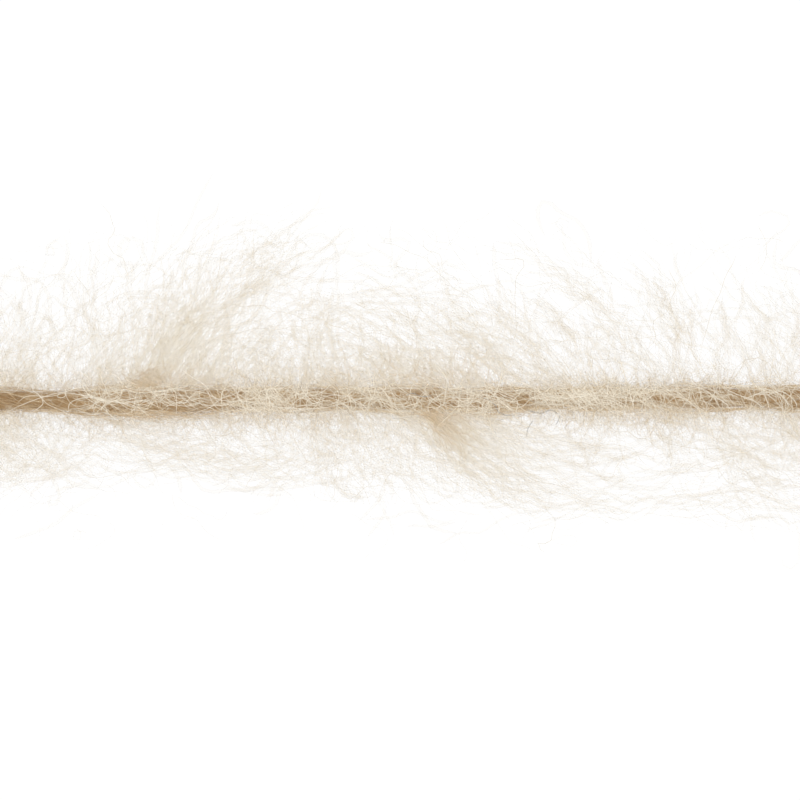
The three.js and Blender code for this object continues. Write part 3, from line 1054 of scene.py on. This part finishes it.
def make_strand_body(material):
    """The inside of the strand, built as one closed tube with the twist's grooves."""
    along = np.linspace(-STRAND_END, STRAND_END, BODY_STATIONS)
    angle = 2 * np.pi * np.arange(BODY_SIDES) / BODY_SIDES
    x, turn = np.meshgrid(along, angle, indexing="ij")
    rings = on_strand(x, turn, np.full(x.shape, BODY_DEPTH))
    vertices = rings.reshape(-1, 3)
    station, side = np.meshgrid(np.arange(BODY_STATIONS - 1), np.arange(BODY_SIDES), indexing="ij")
    here = (station * BODY_SIDES + side).ravel()
    beside = (station * BODY_SIDES + (side + 1) % BODY_SIDES).ravel()
    quads = np.stack([here, beside, beside + BODY_SIDES, here + BODY_SIDES], 1)[:, ::-1]
    ends = strand_centre(along[[0, -1]])
    first_end, last_end = len(vertices), len(vertices) + 1
    side = np.arange(BODY_SIDES)
    after = (side + 1) % BODY_SIDES
    last_ring = (BODY_STATIONS - 1) * BODY_SIDES
    start_cap = np.stack([np.full(BODY_SIDES, first_end), side, after], 1)
    end_cap = np.stack([np.full(BODY_SIDES, last_end), last_ring + after, last_ring + side], 1)
    caps = np.concatenate([start_cap, end_cap])[:, ::-1]
    vertices = np.concatenate([vertices, ends]) * MM
    body = mesh_piece("strand_body", vertices, quads, caps, material)
    add_map(body, np.concatenate([round_and_along(), end_cells()]))
    add_values(body, "fibre_tone", np.full(len(vertices), 0.5))
    add_values(body, "along_fibre", np.full(len(vertices), 1.0))
    return body


TUBE_START = 0.02
TUBE_ROUND, TUBE_ALONG = 0.86, 0.96


def round_and_along():
    """Places on the map for the tube's faces, round it and along it, in the order they are made."""
    station, side = np.meshgrid(np.arange(BODY_STATIONS - 1), np.arange(BODY_SIDES), indexing="ij")
    station, side = station.ravel(), side.ravel()
    round_it = np.stack([side, side + 1, side + 1, side], 1)[:, ::-1] / BODY_SIDES
    along_it = np.stack([station, station, station + 1, station + 1], 1)[:, ::-1]
    along_it = along_it / (BODY_STATIONS - 1)
    places = np.stack([TUBE_ROUND * round_it, TUBE_ALONG * along_it], -1)
    return TUBE_START + places.reshape(-1, 2)


DISC_CENTRE = 0.94
DISC_RADIUS = 0.045


def end_cells():
    """Places on the map for the two cut ends, as two small discs beside the tube."""
    side = np.arange(BODY_SIDES)
    places = []
    for middle, corners in ((0.25, (side, side + 1)), (0.75, (side + 1, side))):
        for turn in (2 * np.pi * np.array(corner) / BODY_SIDES for corner in corners):
            rim = np.stack([np.cos(turn), np.sin(turn)], -1)
            places.append([DISC_CENTRE, middle] + DISC_RADIUS * rim)
        places.append(np.tile([DISC_CENTRE, middle], (BODY_SIDES, 1)))
    first = np.stack([places[1], places[0], places[2]], 1)
    last = np.stack([places[4], places[3], places[5]], 1)
    return np.concatenate([first, last]).reshape(-1, 2)


VIEW_WIDTH = 32.0
LENS = 100.0
SENSOR = 36.0


def make_camera():
    data = bpy.data.cameras.new("camera")
    data.lens, data.sensor_width = LENS, SENSOR
    camera = bpy.data.objects.new("camera", data)
    away = VIEW_WIDTH / SENSOR * LENS
    camera.location = (0, 0, (STRAND_HEIGHT + away) * MM)
    data.clip_start, data.clip_end = 0.001, 2.0
    bpy.context.scene.collection.objects.link(camera)
    bpy.context.scene.camera = camera


SURFACE_CORNERS = [(-1.0, -1.0, 0), (1.0, -1.0, 0), (1.0, 1.0, 0), (-1.0, 1.0, 0)]
SURFACE_SHADE = 0.85
SEEN_SHADE = 0.22
SEEN_GLOW = 0.80


def make_surface():
    """A plain white surface that still takes the yarn's shadow."""
    material = bpy.data.materials.new("white_surface")
    material.use_nodes = True
    nodes, links = material.node_tree.nodes, material.node_tree.links
    shader = nodes["Principled BSDF"]
    set_inputs(shader, Roughness=0.9, Specular_IOR_Level=0.0, Emission_Color=(1, 1, 1, 1))
    path = nodes.new("ShaderNodeLightPath")
    shade = set_inputs(colour_mix(nodes), A=(*[SURFACE_SHADE] * 3, 1), B=(*[SEEN_SHADE] * 3, 1))
    mirrored = nodes.new("ShaderNodeMath")
    mirrored.operation = "MAXIMUM"
    seen = nodes.new("ShaderNodeMath")
    seen.operation = "MAXIMUM"
    glow = nodes.new("ShaderNodeMath")
    glow.operation = "MULTIPLY"
    glow.inputs[1].default_value = SEEN_GLOW
    join(
        links,
        (path, "Is Glossy Ray", mirrored, 0),
        (path, "Is Transmission Ray", mirrored, 1),
        (path, "Is Camera Ray", seen, 0),
        (mirrored, 0, seen, 1),
        (seen, 0, shade, "Factor"),
        (seen, 0, glow, 0),
        (shade, "Result", shader, "Base Color"),
        (glow, 0, shader, "Emission Strength"),
    )
    mesh = bpy.data.meshes.new("surface")
    mesh.from_pydata(SURFACE_CORNERS, [], [(0, 1, 2, 3)])
    mesh.materials.append(material)
    surface = bpy.data.objects.new("surface", mesh)
    bpy.context.scene.collection.objects.link(surface)


LAMP_SIZE = 0.3
LAMP_POWER = 0.12
LAMP_PLACE = (-0.05, 0.12, 0.3)
LAMP_TILT = (-22, -9)


def make_light():
    """Plain white light from all round, and one soft lamp over the far side."""
    world = bpy.data.worlds.new("studio")
    world.use_nodes = True
    set_inputs(world.node_tree.nodes["Background"], Color=(1, 1, 1, 1), Strength=1.0)
    bpy.context.scene.world = world
    data = bpy.data.lights.new("softbox", "AREA")
    data.shape, data.size, data.energy = "SQUARE", LAMP_SIZE, LAMP_POWER
    lamp = bpy.data.objects.new("softbox", data)
    lamp.location = LAMP_PLACE
    lamp.rotation_euler = (math.radians(LAMP_TILT[0]), math.radians(LAMP_TILT[1]), 0)
    bpy.context.scene.collection.objects.link(lamp)


def finish_piece(piece):
    """Hangs a piece of the yarn from the root body, and hides the yarn's solid."""
    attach(piece, "root")
    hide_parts("yarn")


def finish_fibres(fibres, name, material, smooth=True):
    """Makes fibres into a piece. They are fine, so light goes through and they shade nothing."""
    piece = fibres.mesh(name, material, smooth)
    piece.visible_shadow = False
    piece.visible_diffuse = False
    finish_piece(piece)


# ---------------------------------------------------------------------------------------------
# The yarn
# ---------------------------------------------------------------------------------------------

# Each group of fibres has its own seed, so that it stays the same when another changes.
SPUN_SEED, CROSSING_SEED, COVER_SEED = 7, 11, 12
FAR_SEED, NEAR_SEED, HAIR_SEED_STEP = 21, 41, 30
SLEEVE_SEED, STRAY_SEED = 61, 71

SPUN_FIBRES = 500
SPUN_DEPTH = (0.72, 1.02)
SPUN_LAY = 0.24
SPUN_WIDTH = (0.014, 0.026)

# Crossing and cover fibres: how many are tried, their length, and how far they stray from the run.
CROSSING_FIBRES = (1250, (0.6, 3.6), 0.42)
COVER_FIBRES = (2600, (0.4, 2.0), 0.7)

# Fuzz and haze: how many fibres on each side, and how far they reach.
LONG_FUZZ = (340, 0.9)
SHORT_FUZZ = (420, 0.12)
HAZE = (470, 0.34)

# A tuft has one fuzz fibre for every 3 of its own, and one of down for every 6 or 12.
FUZZ_TUFT_PART = 3
FAR_DOWN_TUFT_PART, NEAR_DOWN_TUFT_PART = 6, 12

# How many fibres of each kind a drift or a tress has, for each one in its row.
DOWN_DRIFT_SHARE = 0.4
HAIR_DRIFT_SHARE = 0.10
TRESS_SHARE = 1.3
DOWN_TRESS_SHARE = 0.7

# Single hairs that each lock has.
HAIR_WISPS = 3

SLEEVE_FIBRES = 900
SLEEVE_LIFT = 0.30

# Strays: how high they lie, and how wide they are.
PALE_STRAY = (1.9, 0.026)
GREY_STRAY = (2.0, 0.030)

SIDES = (
    ("far", 1, FAR_LOCKS, FAR_DRIFTS, FAR_TRESSES, FAR_ROOTS, FAR_DOWN_TUFT_PART, FAR_SEED),
    ("near", -1, NEAR_LOCKS, NEAR_DRIFTS, NEAR_TRESSES, NEAR_ROOTS, NEAR_DOWN_TUFT_PART, NEAR_SEED),
)


def make_strand(finishes):
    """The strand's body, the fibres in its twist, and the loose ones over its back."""
    # The body's finish is darkened as painted shade inside the dense strand.
    body = make_strand_body(finishes["packed_strand"])
    finish_piece(body)
    spun = Fibres()
    rng = np.random.default_rng(SPUN_SEED)
    add_spun(spun, rng, SPUN_FIBRES, SPUN_DEPTH, SPUN_LAY, SPUN_WIDTH)
    finish_fibres(spun, "spun_fibres", finishes["spun_fibre"])
    crossing = Fibres()
    add_crossing(crossing, np.random.default_rng(CROSSING_SEED), *CROSSING_FIBRES, LOOSE)
    finish_fibres(crossing, "crossing_fibres", finishes["loose_fibre"], smooth=False)
    cover = Fibres()
    add_crossing(cover, np.random.default_rng(COVER_SEED), *COVER_FIBRES, COVER)
    finish_fibres(cover, "cover_fibres", finishes["cover_fibre"])


def make_pile(side_name, side, locks, seed, finishes):
    """The locks of one side as three pieces. Each has the next seed, and the one after is left."""
    third = len(locks) // 3
    parts = {"left": locks[:third], "middle": locks[third : 2 * third], "right": locks[2 * third :]}
    for part_name, part in parts.items():
        rng = np.random.default_rng(seed)
        seed += 1
        pile = Fibres()
        for lock in part:
            add_lock(pile, rng, lock, side, FINE)
        finish_fibres(pile, f"pile_{side_name}_{part_name}", finishes["brushed_fibre"])
    return seed


def make_side(side_name, side, locks, drifts, tresses, roots, down_tuft_part, seed, finishes):
    """All the brushed fibres of one side. Side is 1 for the far side and -1 for the near side."""
    locks = named_rows(LOCK_COLUMNS, locks)
    drifts = named_rows(DRIFT_COLUMNS, drifts)
    seed = make_pile(side_name, side, locks, seed, finishes)
    rng = np.random.default_rng(seed)
    down, fuzz, haze, drift, brown = (Fibres() for each in range(5))
    for lock in locks:
        add_lock(down, rng, lock, side, DOWN)
    add_fuzz(fuzz, rng, *LONG_FUZZ, side, FINE)
    add_fuzz(fuzz, rng, *SHORT_FUZZ, side, FINE)
    add_fuzz(haze, rng, *HAZE, side, TUFT)
    for along, spread, tuft_side, lean, reach, count in TUFTS:
        if tuft_side == side:
            tuft = (along, spread, side, lean, reach)
            add_tuft(haze, rng, *tuft, count, TUFT)
            add_tuft(fuzz, rng, *tuft, count // FUZZ_TUFT_PART, FINE)
            add_tuft(down, rng, *tuft, count // down_tuft_part, DOWN)
    for row in drifts:
        add_drift(drift, rng, row, side, FINE, 1.0)
        add_drift(down, rng, row, side, DOWN, DOWN_DRIFT_SHARE)
    for row in named_rows(TRESS_COLUMNS, tresses):
        add_tress(drift, rng, row, side, FINE, TRESS_SHARE)
        add_tress(down, rng, row, side, DOWN, DOWN_TRESS_SHARE)
    for row in named_rows(TRESS_COLUMNS, roots):
        add_tress(brown, rng, row, side, BROWN, 1.0)
    finish_fibres(fuzz, f"fuzz_{side_name}", finishes["brushed_fibre"])
    finish_fibres(brown, f"roots_{side_name}", finishes["root_fibre"])
    finish_fibres(haze, f"haze_{side_name}", finishes["haze_fibre"])
    finish_fibres(drift, f"drift_{side_name}", finishes["brushed_fibre"])
    finish_fibres(down, f"down_{side_name}", finishes["down_fibre"])
    make_hairs(side_name, side, locks, drifts, seed + HAIR_SEED_STEP, finishes)


def make_hairs(side_name, side, locks, drifts, seed, finishes):
    """The single hairs that stand out in the pile of one side."""
    rng = np.random.default_rng(seed)
    hairs = Fibres()
    for lock in locks:
        add_lock(hairs, rng, {**lock, "wisps": HAIR_WISPS}, side, HAIR)
    for row in drifts:
        add_drift(hairs, rng, row, side, HAIR, HAIR_DRIFT_SHARE)
    finish_fibres(hairs, f"hairs_{side_name}", finishes["long_hair"])


def make_sleeve(finishes):
    sleeve = Fibres()
    add_sleeve(sleeve, np.random.default_rng(SLEEVE_SEED), SLEEVE_FIBRES, SLEEVE_LIFT, SLEEVE)
    finish_fibres(sleeve, "sleeve_fibres", finishes["sleeve_fibre"])


def make_strays(finishes):
    """The pale and grey fibres that lie over the rest."""
    rng = np.random.default_rng(STRAY_SEED)
    sorts = (
        ("pale_strays", PALE_STRAYS, PALE_STRAY, "loose_fibre"),
        ("grey_strays", GREY_STRAYS, GREY_STRAY, "grey_fibre"),
    )
    for name, table, (height, width), finish in sorts:
        strays = Fibres()
        for places in table:
            add_stray(strays, rng, places, height, width)
        finish_fibres(strays, name, finishes[finish], smooth=False)


scene = bpy.context.scene
scene.view_settings.view_transform = "Standard"
scene.cycles.transparent_max_bounces = 128
make_camera()
yarn_finishes = make_finishes()
make_strand(yarn_finishes)
for side_row in SIDES:
    make_side(*side_row, yarn_finishes)
make_sleeve(yarn_finishes)
make_strays(yarn_finishes)
make_surface()
make_light()
